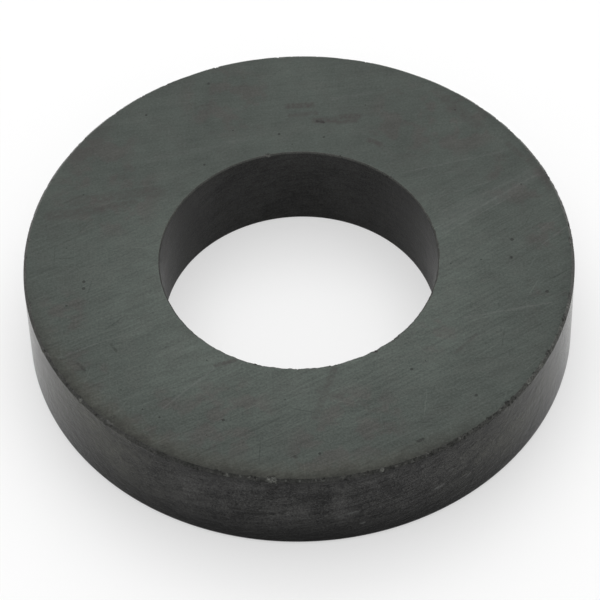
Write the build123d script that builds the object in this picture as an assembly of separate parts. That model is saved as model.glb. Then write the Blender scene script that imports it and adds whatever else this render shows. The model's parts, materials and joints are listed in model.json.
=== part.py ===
"""Ferrite ring magnet: one pressed and sintered ring with ground faces and a chipped top rim.

All sizes are in millimetres. The origin is the centre of the face that the ring lies on,
and +Z runs up the axis of the bore. Angles go round the ring from +X, anticlockwise from above.
"""
from build123d import *
from math import cos, radians, sin
from typing import NamedTuple
import os

# Driving sizes of the ring
outer_diameter = 80.0
bore_diameter = 40.4
thickness = 15.0

# Width and height of the 45 degree edges that the press tool leaves on the ring
outer_chamfer = 0.4
bore_chamfer = 0.2


class Chip(NamedTuple):
    """A shell-shaped flake lost from the rim of the top face."""

    angle: float  # place round the ring, degrees
    width: float  # length of rim that it took, mm
    depth: float  # how far it bit below the chamfer, mm
    lean: float   # 0 bites straight into the wall, 90 straight down into the face


# Flakes lost from the outer rim, in their order round the ring
rim_chips = [
    Chip(6.8, 0.9, 0.12, 40),
    Chip(21.6, 1.1, 0.20, 60),
    Chip(73.9, 0.8, 0.15, 50),
    Chip(85.0, 0.9, 0.14, 45),
    Chip(107.2, 1.2, 0.18, 50),
    Chip(113.6, 0.8, 0.12, 40),
    Chip(119.2, 1.1, 0.16, 45),
    Chip(124.9, 0.9, 0.14, 50),
    Chip(132.9, 1.2, 0.18, 45),
    Chip(142.7, 1.0, 0.15, 40),
    Chip(147.9, 0.8, 0.13, 50),
    Chip(218.2, 0.6, 0.15, 20),
    Chip(254.2, 0.7, 0.15, 45),
    Chip(263.4, 1.5, 0.36, 55),
    Chip(273.5, 1.0, 0.16, 45),
    Chip(285.5, 0.8, 0.25, 60),
    Chip(292.0, 0.6, 0.15, 30),
    Chip(300.6, 0.9, 0.15, 25),
    Chip(310.2, 0.7, 0.16, 40),
    Chip(316.1, 0.9, 0.28, 70),
    Chip(323.4, 0.8, 0.20, 45),
    Chip(328.4, 0.9, 0.22, 45),
]


def section():
    """Half section of the ring, with its four corners chamfered."""
    wall = (outer_diameter - bore_diameter) / 2
    bar = Pos(bore_diameter / 2, 0) * Rectangle(wall, thickness, align=(Align.MIN, Align.MIN))
    bar = chamfer(bar.vertices().group_by(Axis.X)[0], bore_chamfer)
    bar = chamfer(bar.vertices().group_by(Axis.X)[-1], outer_chamfer)
    return Plane.XZ * bar


def scoop(chip):
    """Ball whose cap is the hollow that a lost flake leaves in the top outer chamfer."""
    ball_radius = (chip.width**2 / 4 + chip.depth**2) / (2 * chip.depth)
    chamfer_middle = Pos((outer_diameter - outer_chamfer) / 2, 0, thickness - outer_chamfer / 2)
    reach = ball_radius - chip.depth
    lean = radians(chip.lean)
    centre = chamfer_middle * Pos(reach * cos(lean), 0, reach * sin(lean))
    return Rot(0, 0, chip.angle) * centre * Sphere(ball_radius)


def magnet_ring():
    """The whole magnet: the section turned about the bore's axis, less the flakes."""
    blank = revolve(section(), Axis.Z)
    return blank - [scoop(chip) for chip in rim_chips]


os.makedirs("parts", exist_ok=True)
export_step(magnet_ring(), "parts/magnet_ring.step")
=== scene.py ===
"""A ferrite ring magnet lying on a pale studio floor: its shape, finish, lights and camera."""
import json
import math
import random
from typing import NamedTuple

import bmesh
import bpy
import numpy as np
from mathutils import Matrix, Vector, noise


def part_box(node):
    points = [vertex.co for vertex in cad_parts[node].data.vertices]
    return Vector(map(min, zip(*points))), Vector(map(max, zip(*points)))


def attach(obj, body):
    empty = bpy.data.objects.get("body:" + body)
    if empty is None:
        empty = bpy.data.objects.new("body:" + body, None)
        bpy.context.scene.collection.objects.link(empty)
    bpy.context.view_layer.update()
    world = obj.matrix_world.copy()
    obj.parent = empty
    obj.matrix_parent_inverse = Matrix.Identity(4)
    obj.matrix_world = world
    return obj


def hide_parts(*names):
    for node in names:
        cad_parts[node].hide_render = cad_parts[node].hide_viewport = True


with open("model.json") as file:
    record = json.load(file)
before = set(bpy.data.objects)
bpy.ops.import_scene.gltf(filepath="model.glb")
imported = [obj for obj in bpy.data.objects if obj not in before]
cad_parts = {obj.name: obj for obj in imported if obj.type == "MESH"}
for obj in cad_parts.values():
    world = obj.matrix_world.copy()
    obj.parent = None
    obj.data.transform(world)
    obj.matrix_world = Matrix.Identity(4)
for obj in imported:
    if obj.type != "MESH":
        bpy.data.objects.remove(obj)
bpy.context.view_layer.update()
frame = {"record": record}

MM = 0.001

# The ring's sizes, from the frame
ring_low, ring_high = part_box("magnet_ring")
OUTER_RADIUS = (ring_high.x - ring_low.x) / 2
THICKNESS = ring_high.z - ring_low.z
BORE_RADIUS = frame["record"]["mounts"][0]["dims"]["r_mm"] * MM

# Edges left by the press tool
OUTER_CHAMFER = 0.4 * MM
BORE_CHAMFER = 0.2 * MM

# Depth of the finely divided strips on either side of a top rim
OUTER_RIM_STRIP = 1.1 * MM
BORE_RIM_STRIP = 0.6 * MM

# Narrow strips beside the plain bottom rims, which keep the shading of the flats flat
CORNER_STRIP = 0.25 * MM

# Divisions of the ring round its axis, which the strips beside the top rims divide further
RING_STEPS = 600

# Points nearer to each other than this are the same
HAIR = 0.001 * MM

# Grain of the broken ferrite on a worn rim
CRUST_GRAIN = 0.7 * MM

# Grain of a flake's jagged outline, and how far it strays as a share of the flake's width
JAGGED_GRAIN = 0.34 * MM
JAGGED_SHARE = 0.42

# A hollow as deep as this has the colour of its own break in full
SHOWING_DEPTH = 0.05 * MM

# Colours of the ground faces: plain, brownish, and grimy beside the front of the rim
GROUND_GREY = (0.0690, 0.0812, 0.0718, 1)
GROUND_BROWN = (0.0718, 0.0730, 0.0665, 1)
GROUND_OLIVE = (0.0694, 0.0700, 0.0579, 1)

# Colours of the sintered skin: front and back, and the sides, whose olive is a painted tint of their
# glancing reflection
SKIN_GREY = (0.0268, 0.0267, 0.0257, 1)
SKIN_OLIVE = (0.0200, 0.0206, 0.0150, 1)

# Colours of broken ferrite and of the marks
BREAK_DARK = (0.075, 0.078, 0.071, 1)
BREAK_PALE = (0.25, 0.255, 0.235, 1)
STAIN_BROWN = (0.0460, 0.0415, 0.0390, 1)
SCRATCH_PALE = (0.14, 0.145, 0.14, 1)
GOUGE_BLACK = (0.006, 0.006, 0.005, 1)


class Chip(NamedTuple):
    """A flake lost from a rim: a ball-shaped hollow, stretched along the rim."""

    angle: float  # place round the ring, degrees from +X
    width: float  # length of rim that it took, mm
    depth: float  # how far it bit below the chamfer, mm
    lean: float   # 0 bites into the wall, 90 down into the face
    # How pale a break is: partly its own lighter grey, partly a painted glint of its facets
    pale_and_glint: float = 0.2  # 1 for a pale new break, 0 for one as dark as the skin
    stretch: float = 1.0  # width along the rim over width across it


# The flakes that can be told apart on the top outer rim, in their order round the ring
RIM_CHIPS = [
    Chip(6.8, 0.9, 0.12, 40),
    Chip(21.6, 1.1, 0.20, 60, 0.3),
    Chip(73.9, 0.8, 0.15, 50),
    Chip(85.0, 0.9, 0.14, 45),
    Chip(107.2, 1.2, 0.18, 50, 0.3),
    Chip(113.6, 0.8, 0.12, 40),
    Chip(119.2, 1.1, 0.16, 45, 0.2),
    Chip(124.9, 0.9, 0.14, 50),
    Chip(132.9, 1.2, 0.18, 45, 0.3),
    Chip(142.7, 1.0, 0.15, 40),
    Chip(147.9, 0.8, 0.13, 50),
    Chip(218.2, 0.6, 0.15, 20, 1.0),
    Chip(254.2, 0.8, 0.12, 45, 0.5, 1.7),
    Chip(263.4, 1.5, 0.30, 55, 0.7, 1.5),
    Chip(273.5, 1.1, 0.16, 45, 0.35, 1.6),
    Chip(285.5, 0.7, 0.20, 60, 0.75, 1.2),
    Chip(292.0, 0.6, 0.15, 30, 0.4),
    Chip(300.6, 0.9, 0.15, 25, 0.2),
    Chip(310.2, 0.7, 0.16, 40, 0.3),
    Chip(316.1, 0.7, 0.18, 70, 0.1),
    Chip(323.4, 1.0, 0.20, 45, 0.8, 1.3),
    Chip(328.4, 0.9, 0.20, 45, 0.7, 1.3),
]

# Small pale flecks between them, partly lighter broken grey and partly painted glints: angle and width
RIM_FLECKS = [
    (256.9, 0.35), (258.6, 0.45), (260.3, 0.4), (266.2, 0.4), (268.9, 0.3), (272.0, 0.5), (281.8, 0.3),
    (288.4, 0.35), (290.6, 0.4), (295.2, 0.4), (299.0, 0.3), (305.5, 0.35), (307.9, 0.3), (319.2, 0.3),
]

# The flakes that can be told apart on the top rim of the bore
BORE_CHIPS = [
    Chip(101.6, 1.0, 0.25, 50, 0.7, 1.6),
    Chip(252.0, 1.6, 0.14, 50, 0.2, 2.0),
    Chip(267.8, 1.3, 0.18, 50, 0.3, 1.8),
    Chip(283.0, 1.8, 0.14, 50, 0.2, 2.2),
    Chip(300.9, 1.6, 0.22, 50, 0.2, 1.8),
    Chip(311.1, 1.8, 0.24, 50, 0.3, 2.0),
    Chip(322.0, 1.4, 0.18, 50, 0.2, 2.0),
]


class Rim:
    """One top rim of the ring, as seen in the half section."""

    def __init__(self, radius, chamfer, strip, outward, worn, knocked):
        self.radius = radius
        self.chamfer = chamfer
        self.strip = strip
        self.outward = outward  # 1 for the outer rim, -1 for the rim of the bore
        self.worn = worn        # how pale its chamfer is: 0 as the skin, 1 as a new break
        self.knocked = knocked  # how hard it was knocked at the back, where the front is 1


OUTER_RIM = Rim(OUTER_RADIUS, OUTER_CHAMFER, OUTER_RIM_STRIP, outward=1, worn=0.27, knocked=0.18)
BORE_RIM = Rim(BORE_RADIUS, BORE_CHAMFER, BORE_RIM_STRIP, outward=-1, worn=0.28, knocked=0.1)


def ring_section(bm):
    """Draws the ring's half section as a closed line of short edges, and returns its parts."""
    inner, outer, top = BORE_RADIUS, OUTER_RADIUS, THICKNESS
    # Each stretch: the radius and height that it starts from, and how many edges it has
    stretches = [
        (inner, BORE_CHAMFER, 1),
        (inner, BORE_CHAMFER + CORNER_STRIP, 4),
        (inner, top - BORE_CHAMFER - BORE_RIM_STRIP, 5),
        (inner, top - BORE_CHAMFER, 3),
        (inner + BORE_CHAMFER, top, 5),
        (inner + BORE_CHAMFER + BORE_RIM_STRIP, top, 4),
        (outer - OUTER_CHAMFER - OUTER_RIM_STRIP, top, 9),
        (outer - OUTER_CHAMFER, top, 6),
        (outer, top - OUTER_CHAMFER, 8),
        (outer, top - OUTER_CHAMFER - OUTER_RIM_STRIP, 5),
        (outer, OUTER_CHAMFER + CORNER_STRIP, 1),
        (outer, OUTER_CHAMFER, 2),
        (outer - OUTER_CHAMFER, 0, 1),
        (outer - OUTER_CHAMFER - CORNER_STRIP, 0, 4),
        (inner + BORE_CHAMFER + CORNER_STRIP, 0, 1),
        (inner + BORE_CHAMFER, 0, 1),
    ]
    verts = []
    for index, (radius, height, count) in enumerate(stretches):
        start = Vector((radius, 0, height))
        following = stretches[(index + 1) % len(stretches)]
        end = Vector((following[0], 0, following[1]))
        verts += [bm.verts.new(start.lerp(end, step / count)) for step in range(count)]
    edges = [bm.edges.new((vert, verts[index - 1])) for index, vert in enumerate(verts)]
    return verts + edges


def in_strip(vert, rim):
    """Whether a vertex lies in the finely divided strip of a rim."""
    slack = 0.02 * MM
    reach = rim.chamfer + rim.strip + slack
    radius = math.hypot(vert.co.x, vert.co.y)
    return vert.co.z > THICKNESS - reach and abs(radius - rim.radius) < reach


def runs_round(edge):
    """Whether an edge runs round the ring and not along its section."""
    first, second = (vert.co for vert in edge.verts)
    drop = abs(first.z - second.z)
    step_in = abs(math.hypot(first.x, first.y) - math.hypot(second.x, second.y))
    return max(drop, step_in) < HAIR


def refine(bm, rim, cuts):
    """Divides a rim's strip more finely round the ring."""
    edges = [
        edge for edge in bm.edges
        if runs_round(edge) and all(in_strip(vert, rim) for vert in edge.verts)
    ]
    bmesh.ops.subdivide_edges(bm, edges=edges, cuts=cuts, use_grid_fill=True)


def ripple(angles, waves, seed):
    """A seeded wavy line round the ring, about -1 to 1: waves gives each ripple's count and share.

    Each ripple is three waves of unlike lengths, so that it doesn't look regular.
    """
    draw = random.Random(seed)
    total = np.zeros_like(angles)
    for count, share in waves:
        for detuned in (-0.31, 0.0, 0.37):
            turns = round(count * (1 + detuned))
            total += share / 2 * np.sin(turns * angles + draw.uniform(0, math.tau))
    return total


def scallops(angles, count, seed):
    """Uneven hollows round the ring, 0 at the cusps between them and 1 in the middle of each."""
    return np.abs(np.sin(count / 2 * angles + 1.4 * ripple(angles, [(7, 0.6), (17, 0.4)], seed)))


def rocky(points, size, octaves):
    """A broken-stone pattern at each point, about -1 to 1, with size as its largest grain."""
    return np.array([noise.fractal(Vector(point) / size, 0.9, 2.1, octaves) for point in points])


def knocks(angles, least):
    """How hard a rim was knocked, round the ring: 1 at the front, falling to least at the back."""
    return least + (1 - least) * np.clip(3.2 * np.cos(angles - math.radians(295)) - 2.0, 0, 1)


def soiled(angles):
    """How grimy the rims are, round the ring: 1 at the front left, falling to 0 at the back."""
    return np.clip(1.5 * np.cos(angles - math.radians(238)), 0, 1)


def cut_chamfer(points, broken, rim, extra, angles):
    """Planes the rim's corner down to its chamfer plus extra, which may change from place to place."""
    radius = np.hypot(points[:, 0], points[:, 1])
    beyond = rim.outward * (radius - rim.radius) + (points[:, 2] - THICKNESS) + rim.chamfer
    proud = beyond + extra
    drop = np.clip(proud, 0, None) / 2
    scale = 1 - rim.outward * drop / radius
    points[:, 0] *= scale
    points[:, 1] *= scale
    points[:, 2] -= drop
    # The whole edge is worn, and keeps more grime at the front left
    edge = (proud > 0) | (beyond > -HAIR)
    broken[edge] = rim.worn * (1 - 0.5 * soiled(angles[edge]))


def cut_chip(points, broken, jitter, rim, chip):
    """Moves the points inside a flake's hollow onto its bed, and marks them as broken.

    The jitter of the points makes its outline jagged.
    """
    turn = math.radians(chip.angle)
    along = np.array([-math.sin(turn), math.cos(turn), 0])
    lean = math.radians(chip.lean)
    outward = np.array([
        rim.outward * math.cos(turn) * math.cos(lean),
        rim.outward * math.sin(turn) * math.cos(lean),
        math.sin(lean),
    ])
    width, depth = chip.width / chip.stretch * MM, chip.depth * MM
    ball = (width**2 / 4 + depth**2) / (2 * depth)
    middle = rim.radius - rim.outward * rim.chamfer / 2
    centre = np.array([middle * math.cos(turn), middle * math.sin(turn), THICKNESS - rim.chamfer / 2])
    centre = centre + outward * (ball - depth)
    arm = points + jitter * width - centre
    arm -= np.outer(arm @ along, along) * (1 - 1 / chip.stretch)
    height = arm @ outward
    inside = (arm**2).sum(axis=1) < ball**2
    if not inside.any():
        return
    flat = (arm[inside]**2).sum(axis=1) - height[inside] ** 2
    bed = -np.sqrt(ball**2 - flat)
    sunk = height[inside] - bed
    points[inside] -= np.outer(sunk, outward)
    depth_mark = np.clip(sunk / SHOWING_DEPTH, 0, 1)
    # Partly the break's own paler grey, partly a painted glint of its facets
    broken[inside] += (chip.pale_and_glint - broken[inside]) * depth_mark


def small_chips(rim, seed, count, width, depth, stretch):
    """Seeded small flakes all round a rim: width and depth are (least, most) in mm.

    They are fewer and shallower where the rim was knocked less, and darker where it is grimy.
    """
    draw = random.Random(seed)
    thinning = random.Random(seed + 100)
    chips = []
    for _ in range(count):
        size = draw.random() ** 2
        angle = draw.uniform(0, 360)
        knock = float(knocks(math.radians(angle), rim.knocked))
        kept_brightness = 1 - 0.45 * float(soiled(math.radians(angle)))
        chip = Chip(
            angle,
            width[0] + (width[1] - width[0]) * size,
            (depth[0] + (depth[1] - depth[0]) * size * draw.uniform(0.6, 1)) * knock,
            lean=draw.uniform(20, 72),
            pale_and_glint=(0.08 + 0.6 * draw.random() ** 2) * kept_brightness,
            stretch=draw.uniform(*stretch),
        )
        if thinning.random() < knock:
            chips.append(chip)
    return chips


def wear_rim(points, broken, rim, chips, extra, roughness):
    """Wears one top rim: its uneven chamfer, its flakes and a rocky grain all over it.

    The chamfer is wider than the pressed one by extra, and its grain is as high as roughness in mm.
    """
    radius = np.hypot(points[:, 0], points[:, 1])
    reach = rim.chamfer + rim.strip
    near = (points[:, 2] > THICKNESS - reach) & (np.abs(radius - rim.radius) < reach)
    rows = np.flatnonzero(near)
    strip, marks = points[rows], broken[rows]
    angles = np.arctan2(strip[:, 1], strip[:, 0])
    rough = roughness * MM * knocks(angles, rim.knocked) * rocky(strip, CRUST_GRAIN, 3)
    cut_chamfer(strip, marks, rim, extra(angles) + rough, angles)
    jitter = np.array([noise.noise_vector(Vector(point) / JAGGED_GRAIN) for point in strip])
    jitter *= JAGGED_SHARE
    degrees = np.degrees(angles) % 360
    for chip in chips:
        # A little more of the rim than the flake can reach
        window = math.degrees(chip.width * MM / rim.radius) + 0.3
        close = np.flatnonzero(np.abs((degrees - chip.angle + 180) % 360 - 180) < window)
        bite, bite_marks = strip[close], marks[close]
        cut_chip(bite, bite_marks, jitter[close], rim, chip)
        strip[close], marks[close] = bite, bite_marks
    points[rows], broken[rows] = strip, marks


def outer_wear(angles):
    """How much wider than the pressed chamfer the top outer edge is, round the ring."""
    broad = ripple(angles, [(9, 0.5), (31, 0.5)], 3)
    ragged = ripple(angles, [(160, 0.5), (420, 0.5)], 4)
    return (0.01 + 0.05 * broad + 0.03 * ragged * knocks(angles, OUTER_RIM.knocked)) * MM


def bore_wear(angles):
    """The same for the rim of the bore, which has shallow scallops, deepest at the front."""
    front = np.clip(0.4 - np.sin(angles - 0.5), 0.15, 1)
    ragged = ripple(angles, [(110, 1.0)], 6)
    return (0.13 * front * scallops(angles, 46, 5) + 0.03 * front * ragged) * MM


def model_ring():
    """The magnet: its section spun round the bore's axis, with both top rims worn and chipped."""
    bm = bmesh.new()
    section = ring_section(bm)
    bmesh.ops.spin(
        bm, geom=section, cent=(0, 0, 0), axis=(0, 0, 1), angle=math.tau, steps=RING_STEPS,
        use_merge=True, use_duplicate=False,
    )
    bmesh.ops.remove_doubles(bm, verts=bm.verts[:], dist=HAIR)
    refine(bm, OUTER_RIM, cuts=3)
    refine(bm, BORE_RIM, cuts=1)
    bmesh.ops.recalc_face_normals(bm, faces=bm.faces[:])
    for face in bm.faces:
        face.smooth = True
    mesh = bpy.data.meshes.new("magnet_ring_body")
    bm.to_mesh(mesh)
    bm.free()

    points = np.empty(len(mesh.vertices) * 3)
    mesh.vertices.foreach_get("co", points)
    points = points.reshape(-1, 3)
    broken = np.zeros(len(points))
    rim_chips = small_chips(
        OUTER_RIM, seed=21, count=1000, width=(0.25, 0.8), depth=(0.02, 0.09), stretch=(1.0, 2.4),
    )
    rim_chips += RIM_CHIPS
    rim_chips += [Chip(angle, size, depth=0.08, lean=50, pale_and_glint=0.6) for angle, size in RIM_FLECKS]
    bore_chips = small_chips(
        BORE_RIM, seed=22, count=140, width=(0.25, 0.6), depth=(0.015, 0.045), stretch=(1.4, 2.8),
    )
    bore_chips += BORE_CHIPS
    # Without a seed of its own, the noise of the flakes' outlines would change with the clock
    noise.seed_set(74)
    wear_rim(points, broken, OUTER_RIM, rim_chips, outer_wear, roughness=0.058)
    wear_rim(points, broken, BORE_RIM, bore_chips, bore_wear, roughness=0.04)
    mesh.vertices.foreach_set("co", points.ravel())
    mark = mesh.attributes.new("broken", "FLOAT", "POINT")
    mark.data.foreach_set("value", broken)
    mesh.update()

    ring = bpy.data.objects.new("magnet_ring_body", mesh)
    bpy.context.scene.collection.objects.link(ring)
    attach(ring, "root")
    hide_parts("magnet_ring")
    return ring


class Mark(NamedTuple):
    """A straight mark on the ring, with its ends in mm. Equal ends make a spot."""

    start: tuple
    end: tuple
    width: float     # mm
    strength: float  # 0 faint, 1 full


def on_top(x1, y1, x2, y2, width, strength):
    """A mark on the top face, from (x1, y1) to (x2, y2)."""
    top = THICKNESS / MM
    return Mark((x1, y1, top), (x2, y2, top), width, strength)


def on_wall(angle1, height1, angle2, height2, width, strength):
    """A mark on the outer wall: angles in degrees round the ring, heights in mm above the floor."""
    radius = OUTER_RADIUS / MM
    ends = [(radius * math.cos(math.radians(angle)), radius * math.sin(math.radians(angle)), height)
            for angle, height in ((angle1, height1), (angle2, height2))]
    return Mark(*ends, width, strength)


# Scratches that shine lighter than the face, and pale specks
LIGHT_MARKS = [
    on_top(20.9, 4.6, 35.6, 14.5, 0.4, 0.75),
    on_top(21.2, 3.7, 31.3, 10.3, 0.24, 0.6),
    on_top(20.8, 6.0, 29.0, 10.9, 0.2, 0.5),
    on_top(21.2, 7.7, 34.6, 15.0, 0.24, 0.5),
    on_top(20.3, 10.6, 28.2, 13.3, 0.22, 0.4),
    on_top(21.5, 6.0, 34.5, 14.3, 3.2, 0.28),
    on_top(15.7, 15.6, 31.4, 19.4, 0.34, 0.35),
    on_top(16.5, 14.2, 26.6, 16.3, 0.2, 0.3),
    on_top(35.4, 1.0, 39.2, 4.3, 0.26, 0.5),
    on_top(34.8, 3.4, 38.8, 7.0, 0.22, 0.4),
    on_top(23.2, -12.1, 36.0, -9.8, 0.28, 0.7),
    on_top(-12.4, -19.9, -19.7, -26.7, 0.24, 0.7),
    on_top(-34.6, -17.2, -29.0, -14.7, 0.2, 0.6),
    on_top(-29.0, -14.7, -22.7, -12.6, 0.18, 0.4),
    on_top(-21.9, 19.4, -6.0, 23.5, 0.9, 0.2),
    on_top(5.5, 30.6, 11.5, 31.7, 0.8, 0.25),
    on_top(-17.1, -13.9, -17.1, -13.9, 0.32, 1.0),
    on_top(16.1, -22.4, 16.1, -22.4, 0.28, 0.9),
    on_top(-33.4, -9.9, -33.4, -9.9, 0.32, 0.9),
    on_top(19.1, 6.8, 19.1, 6.8, 0.3, 0.8),
    on_wall(297.1, 6.1, 299.0, 6.2, 0.5, 1.0),
    on_wall(275.7, 5.7, 278.5, 6.2, 0.4, 0.5),
    on_wall(278.5, 6.2, 280.4, 6.5, 0.5, 0.8),
    on_wall(281.0, 3.5, 281.6, 3.5, 0.5, 0.9),
    on_wall(300.5, 8.9, 301.2, 8.9, 0.35, 1.0),
    on_wall(305.1, 5.2, 305.6, 5.4, 0.35, 0.8),
    on_wall(323.1, 3.0, 323.4, 3.0, 0.4, 0.8),
    on_wall(217.3, 14.3, 217.7, 14.3, 0.4, 0.8),
    on_wall(330.8, 13.9, 331.4, 13.9, 0.5, 0.9),
    on_wall(335.5, 11.6, 335.8, 11.6, 0.5, 0.6),
    on_wall(322.5, 7.5, 324.5, 9.0, 0.5, 0.5),
]

# Gouges and pits, darker than what is round them
DARK_MARKS = [
    on_top(-31.8, -18.2, -30.7, -19.6, 0.4, 0.4),
    on_top(-27.1, -15.0, -26.3, -16.3, 0.36, 0.45),
    on_top(3.4, 26.3, 4.2, 26.2, 0.5, 0.6),
    on_top(30.8, -1.2, 30.8, -1.2, 0.6, 0.8),
    on_top(15.7, -33.8, 16.5, -33.4, 0.5, 0.7),
    on_top(-1.3, -35.8, -1.3, -35.8, 0.6, 0.7),
    on_top(4.3, 23.1, 4.3, 23.1, 0.4, 0.7),
    on_top(-12.8, 34.6, -12.8, 34.6, 0.5, 0.7),
    on_top(-25.6, -23.2, -25.6, -23.2, 0.4, 0.6),
    on_top(-19.2, -15.8, -19.2, -15.8, 0.4, 0.6),
    on_wall(255.0, 7.2, 263.5, 7.0, 0.5, 1.0),
]

# Smears and stains, a little darker and browner than the face
STAINS = [
    on_top(-0.9, 29.5, 2.7, 29.6, 1.1, 0.8),
    on_top(-0.5, 27.6, 3.1, 28.0, 0.9, 0.6),
    on_top(3.1, 26.4, 6.2, 26.4, 1.1, 0.9),
    on_top(7.0, 27.0, 9.5, 27.1, 1.1, 0.8),
    on_top(6.5, 26.0, 9.2, 26.2, 0.9, 0.7),
    on_top(11.0, 22.2, 12.6, 21.4, 0.9, 0.8),
    on_top(11.4, 23.8, 12.0, 23.4, 0.7, 0.4),
    on_top(-36.3, 9.3, -29.0, 10.3, 1.8, 0.55),
    on_top(-33.0, 12.0, -20.2, 13.4, 2.0, 0.45),
    on_top(-27.4, 10.8, -24.0, 11.5, 1.2, 0.5),
    on_top(-12.2, -19.3, -9.5, -18.6, 0.7, 0.7),
    on_top(1.6, -29.0, 3.2, -24.6, 1.2, 0.4),
    on_top(3.2, -24.6, 4.6, -20.5, 1.1, 0.5),
    on_top(2.2, -24.6, 5.4, -25.6, 0.8, 0.4),
    on_top(21.8, -18.4, 25.2, -15.0, 0.5, 0.4),
    on_top(22.8, 30.0, 27.4, 24.6, 1.8, 0.45),
    on_top(31.6, 20.8, 33.4, 18.2, 0.9, 0.5),
    on_top(34.6, 17.2, 37.2, 12.0, 1.2, 0.35),
    on_top(-32.5, 21.0, -28.0, 26.5, 2.4, 0.3),
]

# Where brownish patches gather on the top face: x, y and radius in mm
BROWN_PATCHES = [
    (-10, 31, 9), (-30, 23, 8), (-28, 13, 10), (18, 26, 9), (24, 25, 8), (33, 14, 7),
    (-34, -9, 5), (-32, -20, 6), (-11, -29, 9), (-22, -29, 8), (8, -30, 8), (3, -35, 7), (19, -15, 4),
    (36, 3, 4), (36, -9, 4),
]


class Finish:
    """A material under construction, with short calls for the nodes that it needs."""

    def __init__(self, name):
        self.material = bpy.data.materials.new(name)
        self.material.use_nodes = True
        self.tree = self.material.node_tree
        self.tree.nodes.clear()

    def feed(self, socket, value):
        """Links a socket to another's output, or sets it to an even value."""
        if isinstance(value, bpy.types.NodeSocket):
            self.tree.links.new(value, socket)
        else:
            socket.default_value = value

    def node(self, kind, inputs, **settings):
        """A new node with its settings made and its inputs fed, by name or number."""
        node = self.tree.nodes.new(kind)
        for key, value in settings.items():
            setattr(node, key, value)
        for key, value in inputs.items():
            self.feed(node.inputs[key], value)
        return node

    def math(self, operation, first, second=0.0, clamp=False):
        """One sum on numbers, which may be sockets."""
        node = self.node("ShaderNodeMath", {0: first, 1: second}, operation=operation, use_clamp=clamp)
        return node.outputs[0]

    def vector(self, operation, first, second=(0, 0, 0)):
        """The node of one sum on vectors."""
        return self.node("ShaderNodeVectorMath", {0: first, 1: second}, operation=operation)

    def ramp(self, value, start, end, low=0.0, high=1.0):
        """A soft step from low at start to high at end."""
        inputs = {"Value": value, "From Min": start, "From Max": end, "To Min": low, "To Max": high}
        return self.node("ShaderNodeMapRange", inputs, interpolation_type="SMOOTHSTEP").outputs[0]

    def noise(self, place, scale, detail, roughness):
        """A cloudy pattern between 0 and 1, about 0.5 on average."""
        inputs = {"Vector": place, "Scale": scale, "Detail": detail, "Roughness": roughness}
        return self.node("ShaderNodeTexNoise", inputs).outputs[0]

    def mix(self, share, first, second):
        """A colour from first, at a share of 0, to second, at a share of 1."""
        node = self.node("ShaderNodeMix", {}, data_type="RGBA")
        self.feed(node.inputs[0], share)
        self.feed(node.inputs[6], first)
        self.feed(node.inputs[7], second)
        return node.outputs[2]

    def add(self, *values):
        """All the values added up."""
        total = values[0]
        for value in values[1:]:
            total = self.math("ADD", total, value)
        return total

    def stroke(self, place, mark):
        """The mark's strength along its line, fading to 0 at its width."""
        first, last = Vector(mark.start), Vector(mark.end)
        span = last - first
        if span.length:
            pull = span / span.length_squared
            along = self.vector("DOT_PRODUCT", place, pull).outputs["Value"]
            share = self.math("SUBTRACT", along, first.dot(pull), clamp=True)
            nearest = self.node(
                "ShaderNodeVectorMath", {0: share, 1: span, 2: first}, operation="MULTIPLY_ADD",
            ).outputs[0]
        else:
            nearest = first
        distance = self.vector("DISTANCE", place, nearest).outputs["Value"]
        return self.ramp(distance, 0.2 * mark.width, 0.75 * mark.width, mark.strength, 0.0)

    def strokes(self, place, marks):
        """The strongest of a list of marks at each place."""
        strongest = 0.0
        for mark in marks:
            strongest = self.math("MAXIMUM", self.stroke(place, mark), strongest)
        return strongest

    def sway(self, pattern, amount):
        """A pattern around 0.5 turned into a swing of about plus or minus amount around 0."""
        return self.math("MULTIPLY", self.math("SUBTRACT", pattern, 0.5), 2 * amount)


def white_floor():
    """The pale floor of the studio, a hair below the ring.

    It is partly plain white in the camera's view and in reflections, and keeps the ring's shadow.
    """
    reach = 6
    gap = 0.02 * MM
    bm = bmesh.new()
    bmesh.ops.create_grid(bm, x_segments=1, y_segments=1, size=reach)
    bmesh.ops.translate(bm, verts=bm.verts[:], vec=(0, 0, -gap))
    mesh = bpy.data.meshes.new("studio_floor")
    bm.to_mesh(mesh)
    bm.free()
    floor = bpy.data.objects.new("studio_floor", mesh)
    bpy.context.scene.collection.objects.link(floor)
    finish = Finish("white_paper")
    paper = finish.node("ShaderNodeBsdfDiffuse", {"Color": (0.96, 0.96, 0.96, 1), "Roughness": 0.0})
    glow = finish.node("ShaderNodeEmission", {"Color": (1, 1, 1, 1), "Strength": 1.0})
    rays = finish.node("ShaderNodeLightPath", {}).outputs
    seen = finish.math("MULTIPLY", rays["Is Camera Ray"], 0.5)
    mirrored = finish.add(rays["Is Glossy Ray"], rays["Is Transmission Ray"])
    mirrored = finish.math("MULTIPLY", mirrored, 0.25)
    share = finish.add(seen, mirrored)
    lit_paper = finish.node("ShaderNodeMixShader", {0: share, 1: paper.outputs[0], 2: glow.outputs[0]})
    finish.node("ShaderNodeOutputMaterial", {"Surface": lit_paper.outputs[0]})
    mesh.materials.append(finish.material)


def softbox(name, place, aim, size, brightness):
    """A square soft light at place, turned to aim. Its brightness is its radiance, where 1 is white."""
    lamp = bpy.data.lights.new(name, "AREA")
    lamp.shape = "SQUARE"
    lamp.size = size
    lamp.energy = brightness * math.pi * size * size
    box = bpy.data.objects.new(name, lamp)
    bpy.context.scene.collection.objects.link(box)
    place, aim = Vector(place), Vector(aim)
    box.location = place
    box.rotation_euler = (aim - place).to_track_quat("-Z", "Y").to_euler()


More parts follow.
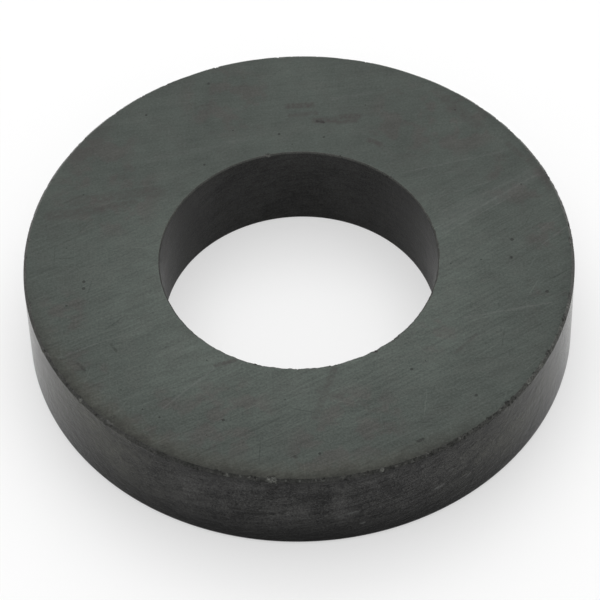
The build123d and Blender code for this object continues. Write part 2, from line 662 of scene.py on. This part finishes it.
def studio_lights():
    """A pale room, white along the horizon, with two large soft lights: overhead and behind."""
    world = bpy.data.worlds.new("studio_room")
    bpy.context.scene.world = world
    world.use_nodes = True
    nodes, links = world.node_tree.nodes, world.node_tree.links
    nodes.clear()
    direction = nodes.new("ShaderNodeTexCoord")
    parts = nodes.new("ShaderNodeSeparateXYZ")
    links.new(direction.outputs["Generated"], parts.inputs[0])
    fall = nodes.new("ShaderNodeMapRange")
    fall.interpolation_type = "SMOOTHSTEP"
    for name, value in (("From Min", 0.08), ("From Max", 0.4), ("To Min", 1.0), ("To Max", 0.43)):
        fall.inputs[name].default_value = value
    links.new(parts.outputs[2], fall.inputs["Value"])
    room = nodes.new("ShaderNodeBackground")
    room.inputs["Color"].default_value = (1, 1, 1, 1)
    links.new(fall.outputs[0], room.inputs["Strength"])
    output = nodes.new("ShaderNodeOutputWorld")
    links.new(room.outputs[0], output.inputs["Surface"])
    softbox("overhead_softbox", (0, 0.25, 1.0), (0, 0, 0), size=1.3, brightness=1.42)
    softbox("back_softbox", (0, 0.9, 0.8), (0, 0, 0), size=1.0, brightness=1.14)


def look_at_ring():
    """The camera: a long lens from the front, about 51 degrees above the floor, held slightly askew."""
    distance = 503.78 * MM
    elevation = math.radians(51.201)
    tilt = math.radians(-1.733)
    focal_pixels = 3506.4
    image_pixels = 600
    aim = Vector((0, -7.95 * MM, THICKNESS))
    back = Vector((0, -math.cos(elevation), math.sin(elevation)))
    level_right = Vector((1, 0, 0))
    level_up = back.cross(level_right)
    right = level_right * math.cos(tilt) + level_up * math.sin(tilt)
    up = level_up * math.cos(tilt) - level_right * math.sin(tilt)
    lens = bpy.data.cameras.new("studio_camera")
    lens.sensor_width = 36
    lens.lens = lens.sensor_width * focal_pixels / image_pixels
    lens.clip_start = 0.01
    lens.clip_end = 20
    camera = bpy.data.objects.new("studio_camera", lens)
    bpy.context.scene.collection.objects.link(camera)
    turn = Matrix((right, up, back)).transposed().to_4x4()
    camera.matrix_world = Matrix.Translation(aim + back * distance) @ turn
    bpy.context.scene.camera = camera


def grinding_arcs(finish, place, direction, bend, offset):
    """Place across and along shallow arcs: their direction in degrees, and their radius in mm as bend.

    The offset keeps the patterns of one set of arcs from those of the next.
    """
    turn = math.radians(direction)
    centre = (-math.sin(turn) * bend, math.cos(turn) * bend, 0)
    flat = finish.vector("MULTIPLY", place, (1, 1, 0)).outputs[0]
    arm = finish.vector("SUBTRACT", flat, centre).outputs[0]
    parts = finish.node("ShaderNodeSeparateXYZ", {0: arm})
    across = finish.math("SUBTRACT", finish.vector("LENGTH", arm).outputs["Value"], abs(bend))
    angle = finish.math("ARCTAN2", parts.outputs[1], parts.outputs[0])
    along = finish.math("MULTIPLY", angle, abs(bend))
    return finish.node("ShaderNodeCombineXYZ", {0: across, 1: along, 2: offset}).outputs[0]


def hairlines(finish, place):
    """Fine short scratches, straight and set at many angles: -1 along a dark one, 0.8 along a light one."""
    # Scratches per mm
    spread = 0.17
    scaled = finish.vector("MULTIPLY", place, (spread, spread, 0)).outputs[0]
    cells = finish.node("ShaderNodeTexVoronoi", {"Vector": scaled, "Scale": 1.0})
    draws = finish.node("ShaderNodeSeparateColor", {0: cells.outputs["Color"]}).outputs
    arm = finish.vector("SUBTRACT", scaled, cells.outputs["Position"]).outputs[0]
    # Each lies at its own angle, from -16 to 93 degrees
    turn = finish.math("MULTIPLY", finish.add(draws[0], -0.15), 1.9)
    across = finish.node("ShaderNodeCombineXYZ", {
        0: finish.math("MULTIPLY", finish.math("SINE", turn), -1.0),
        1: finish.math("COSINE", turn),
    }).outputs[0]
    apart = finish.math("ABSOLUTE", finish.vector("DOT_PRODUCT", arm, across).outputs["Value"])
    length = finish.vector("LENGTH", arm).outputs["Value"]
    line = finish.math("MULTIPLY", finish.ramp(apart, 0.04 * spread, 0.13 * spread, 1, 0),
                       finish.ramp(length, 0.8 * spread, 2.6 * spread, 1, 0))
    return finish.math("MULTIPLY", line, finish.ramp(draws[1], 0.3, 0.31, -1.0, 0.8))


def ground_face(finish, place, x, y, radius):
    """The ground faces: colour, roughness and height in mm."""
    broad = finish.noise(place, 0.09, 3, 0.55)
    cloudy = finish.noise(place, 0.35, 5, 0.85)
    grain = finish.noise(place, 3.0, 2, 0.8)
    first = grinding_arcs(finish, place, direction=30, bend=500, offset=0)
    second = grinding_arcs(finish, place, direction=13, bend=700, offset=80)
    third = grinding_arcs(finish, place, direction=4, bend=-400, offset=40)
    drawn = finish.vector("MULTIPLY", second, (1, 1 / 20, 1)).outputs[0]
    finely_drawn = finish.vector("MULTIPLY", first, (1, 1 / 45, 1)).outputs[0]
    crossed = finish.vector("MULTIPLY", third, (1, 1 / 24, 1)).outputs[0]
    lines = finish.noise(drawn, 0.7, 2, 0.8)
    fine = finish.noise(finely_drawn, 2.6, 2.5, 0.95)
    cross = finish.noise(crossed, 1.0, 4, 0.95)

    # The first grinding shows most at the front, and the third at the back
    front_share = finish.ramp(y, 30, 8, 0.25, 1.0)
    back_share = finish.ramp(y, 0, 26, 0.5, 1.0)
    streaks = finish.add(
        finish.math("MULTIPLY", finish.sway(fine, 0.4), front_share),
        finish.math("MULTIPLY", finish.sway(cross, 0.28), back_share),
        finish.sway(lines, 0.14),
        finish.sway(grain, 0.5),
    )
    streaks = finish.math("MULTIPLY", streaks, finish.ramp(y, 25, -28, 0.8, 1.25))
    scratches = finish.math("MULTIPLY", hairlines(finish, place), finish.ramp(y, 20, -12, 0.1, 0.28))
    # Lighter beside the bore, except at the back, and darker beside the front of the outer rim: partly
    # grime and partly painted shade for the light falling off towards the rim
    polish = finish.math("MULTIPLY", finish.ramp(radius, 20, 38, 0.24, 0), finish.ramp(y, -2, 18, 1, 0))
    fade = finish.add(0.86, polish)
    ragged = finish.add(radius, finish.sway(finish.noise(place, 0.9, 4, 0.75), 2.0))
    front_left = finish.add(finish.math("MULTIPLY", x, -0.34), finish.math("MULTIPLY", y, -0.94))
    front_rim_dirt_and_shade = finish.ramp(front_left, 14, 34)
    right_rim_dirt_and_shade = finish.ramp(x, 8, 30, 0.12, 0.4)
    # Partly grime, partly painted shade: darker towards the outer rim at the front left and at the right
    rim_grime_and_shade = finish.math("MULTIPLY", finish.ramp(ragged, 37.6, 40.1), finish.add(right_rim_dirt_and_shade, front_rim_dirt_and_shade))
    rim_grime_and_shade = finish.math("MULTIPLY", rim_grime_and_shade, 0.46)
    near = 0.15
    for px, py, size in BROWN_PATCHES:
        distance = finish.vector("DISTANCE", place, (px, py, THICKNESS / MM)).outputs["Value"]
        near = finish.math("MAXIMUM", near, finish.ramp(distance, size, 0.5 * size, 0, 0.9))
    blotches = finish.ramp(finish.noise(place, 0.26, 4, 0.6), 0.46, 0.58)
    blotches = finish.math("MULTIPLY", blotches, near)
    tone = finish.add(1.0, streaks, scratches, finish.sway(cloudy, 0.28), finish.sway(broad, 0.22))
    tone = finish.add(tone, finish.math("MULTIPLY", near, -0.06))
    for part in (fade, finish.math("SUBTRACT", 1.0, rim_grime_and_shade)):
        tone = finish.math("MULTIPLY", tone, part)
    olive = finish.math("MULTIPLY", finish.ramp(ragged, 36.0, 39.3, 0.0, 0.8), front_rim_dirt_and_shade)
    colour = finish.mix(blotches, GROUND_GREY, GROUND_BROWN)
    colour = finish.mix(olive, colour, GROUND_OLIVE)
    colour = finish.vector("SCALE", colour)
    finish.feed(colour.inputs["Scale"], tone)
    roughness = finish.add(0.42, finish.sway(broad, 0.06), finish.sway(fine, 0.2), finish.sway(cross, 0.1))
    return colour.outputs[0], roughness, finish.sway(fine, 0.002)


def sintered_skin(finish, place, x, y, z, radius):
    """The dark skin of the walls, as pressed and sintered: colour, roughness and height in mm."""
    mottled = finish.noise(place, 0.5, 3, 0.8)
    broad = finish.noise(place, 0.12, 2, 0.5)
    grain = finish.noise(place, 3.6, 3, 0.9)
    # Faint streaks that climb to the right
    climbed = finish.math("SUBTRACT", z, finish.math("MULTIPLY", x, 0.16))
    drawn = finish.node("ShaderNodeCombineXYZ", {
        0: finish.math("MULTIPLY", x, 0.12),
        1: finish.math("MULTIPLY", y, 0.12),
        2: climbed,
    }).outputs[0]
    streaks = finish.noise(drawn, 1.1, 4, 0.8)
    # A smudge of nested arcs on the front of the wall
    bent = finish.add(
        finish.vector("DISTANCE", place, (6.2, -39.5, 8.8)).outputs["Value"],
        finish.sway(finish.noise(place, 0.8, 2, 0.5), 0.8),
    )
    arcs = finish.math("SINE", finish.math("MULTIPLY", bent, 9.0))
    near = finish.math("MULTIPLY", finish.ramp(bent, 7.0, 4.5), finish.ramp(bent, 1.0, 2.5))
    near = finish.math("MULTIPLY", near, finish.ramp(x, 5.0, 2.0))
    smudge = finish.math("MULTIPLY", near, finish.add(-0.85, finish.math("MULTIPLY", arcs, 0.18)))

    # The streaks fade towards the sides, and the outer wall is painted darker towards its foot: painted
    # shade for the shadowed floor that it meets and reflects
    side = finish.ramp(finish.math("ABSOLUTE", x), 14, 34)
    front = finish.math("SUBTRACT", 1.0, finish.math("MULTIPLY", side, 0.85))
    outside = finish.ramp(radius, 22, 30)
    # Painted shade: near black at the foot of the outer wall, fading out by 8 mm up
    foot_shade = finish.math("SUBTRACT", 1.0, finish.ramp(z, 0.0, 8.0, 0.05, 1.0))
    kept_brightness = finish.math("SUBTRACT", 1.0, finish.math("MULTIPLY", outside, foot_shade))
    uneven = finish.add(
        finish.sway(broad, 1.2), finish.sway(mottled, 1.4), finish.sway(grain, 3.7),
        finish.math("MULTIPLY", finish.sway(streaks, 1.6), front),
    )
    # The skin is more even inside the bore
    uneven = finish.math("MULTIPLY", uneven, finish.ramp(outside, 0, 1, 0.45, 1.0))
    tone = finish.add(1.0, uneven)
    # Darker just below the front of the top rim
    under_rim = finish.math("MULTIPLY", finish.ramp(z, 12.8, 14.3), finish.ramp(y, -30, -38, 0, 0.45))
    tone = finish.math("MULTIPLY", finish.math("MAXIMUM", finish.add(tone, smudge), 0.1), kept_brightness)
    tone = finish.math("MULTIPLY", tone, finish.math("SUBTRACT", 1.0, under_rim))
    # The sides are a warmer, more olive grey than the front: a painted tint of the reflection that they
    # show at a glancing view
    side_reflection_tint = finish.math("MULTIPLY", side, finish.ramp(z, 14.8, 14.4))
    colour = finish.mix(side_reflection_tint, SKIN_GREY, SKIN_OLIVE)
    colour = finish.vector("SCALE", colour)
    finish.feed(colour.inputs["Scale"], tone)
    polish = finish.math("MULTIPLY", side, -0.1)
    dull = finish.ramp(outside, 0, 1, 0.38, 0.2)
    roughness = finish.add(dull, polish, finish.sway(mottled, 0.1))
    roughness = finish.add(roughness, finish.math("MULTIPLY", finish.sway(streaks, 0.14), front))
    height = finish.add(finish.sway(grain, 0.016), finish.sway(mottled, 0.05))
    height = finish.add(height, finish.math("MULTIPLY", finish.sway(streaks, 0.04), front))
    height = finish.math("MULTIPLY", height, finish.ramp(outside, 0, 1, 0.4, 1.0))
    return colour.outputs[0], roughness, height


def ferrite_finish():
    """Ferrite with ground faces, dark sintered walls and lighter broken edges."""
    finish = Finish("ferrite")
    spot = finish.node("ShaderNodeTexCoord", {}).outputs["Object"]
    scaled = finish.vector("SCALE", spot)
    scaled.inputs["Scale"].default_value = 1 / MM
    place = scaled.outputs[0]
    x, y, z = finish.node("ShaderNodeSeparateXYZ", {0: place}).outputs
    flat = finish.vector("MULTIPLY", place, (1, 1, 0)).outputs[0]
    radius = finish.vector("LENGTH", flat).outputs["Value"]
    broken = finish.node("ShaderNodeAttribute", {}, attribute_name="broken").outputs["Fac"]

    # Both flat faces are ground, and the rest is skin or broken
    top = THICKNESS / MM
    from_middle = finish.math("ABSOLUTE", finish.math("SUBTRACT", z, top / 2))
    ground = finish.ramp(from_middle, top / 2 - 0.05, top / 2 - 0.01)

    skin_colour, skin_roughness, skin_height = sintered_skin(finish, place, x, y, z, radius)
    face_colour, face_roughness, face_height = ground_face(finish, place, x, y, radius)
    colour = finish.mix(ground, skin_colour, face_colour)

    grit = finish.noise(place, 6.0, 3, 0.65)
    grit_share = finish.ramp(grit, 0.25, 0.75)
    break_colour = finish.mix(grit_share, BREAK_DARK, BREAK_PALE)
    # A high broken share on flakes and flecks is partly a painted glint of their facets
    colour = finish.mix(broken, colour, break_colour)

    # Marks waver by a fraction of a millimetre and break up along their length
    stray = 0.18
    clouds = finish.node("ShaderNodeTexNoise", {"Vector": place, "Scale": 1.2, "Detail": 2.0})
    waver = finish.vector("MULTIPLY_ADD", clouds.outputs["Color"], (2 * stray,) * 3)
    waver.inputs[2].default_value = (-stray,) * 3
    wavered = finish.vector("ADD", place, waver.outputs[0]).outputs[0]
    breakup = finish.ramp(finish.noise(place, 1.6, 3, 0.6), 0.35, 0.6, 0.35, 1.0)
    light = finish.math("MULTIPLY", finish.strokes(wavered, LIGHT_MARKS), breakup)
    light = finish.math("MULTIPLY", light, 0.42)
    dark = finish.math("MULTIPLY", finish.strokes(wavered, DARK_MARKS), breakup)
    stained = finish.math("MULTIPLY", finish.strokes(wavered, STAINS), breakup)
    # Most pits are too small to see, and a few are large
    cells = finish.node("ShaderNodeTexVoronoi", {"Vector": place, "Scale": 0.45})
    draws = finish.node("ShaderNodeSeparateColor", {0: cells.outputs["Color"]}).outputs
    pit_size = finish.math("MULTIPLY", finish.math("POWER", draws[0], 4), 0.13)
    pits = finish.math("LESS_THAN", cells.outputs["Distance"], pit_size)
    dark = finish.math("MAXIMUM", dark, finish.math("MULTIPLY", pits, 0.6))
    colour = finish.mix(stained, colour, STAIN_BROWN)
    colour = finish.mix(light, colour, SCRATCH_PALE)
    colour = finish.mix(dark, colour, GOUGE_BLACK)

    break_roughness = 0.6
    roughness = finish.node("ShaderNodeMix", {0: ground, 2: skin_roughness, 3: face_roughness}).outputs[0]
    roughness = finish.node("ShaderNodeMix", {0: broken, 2: roughness, 3: break_roughness}).outputs[0]
    height = finish.node("ShaderNodeMix", {0: ground, 2: skin_height, 3: face_height}).outputs[0]
    bump = finish.node("ShaderNodeBump", {"Height": height, "Distance": MM, "Strength": 1.0})
    shader = finish.node("ShaderNodeBsdfPrincipled", {
        "Base Color": colour,
        "Roughness": roughness,
        "IOR": 1.2,
        "Normal": bump.outputs[0],
    })
    finish.node("ShaderNodeOutputMaterial", {"Surface": shader.outputs[0]})
    return finish.material


ring = model_ring()
ring.data.materials.append(ferrite_finish())
white_floor()
studio_lights()
look_at_ring()

bpy.context.scene.view_settings.view_transform = "Standard"
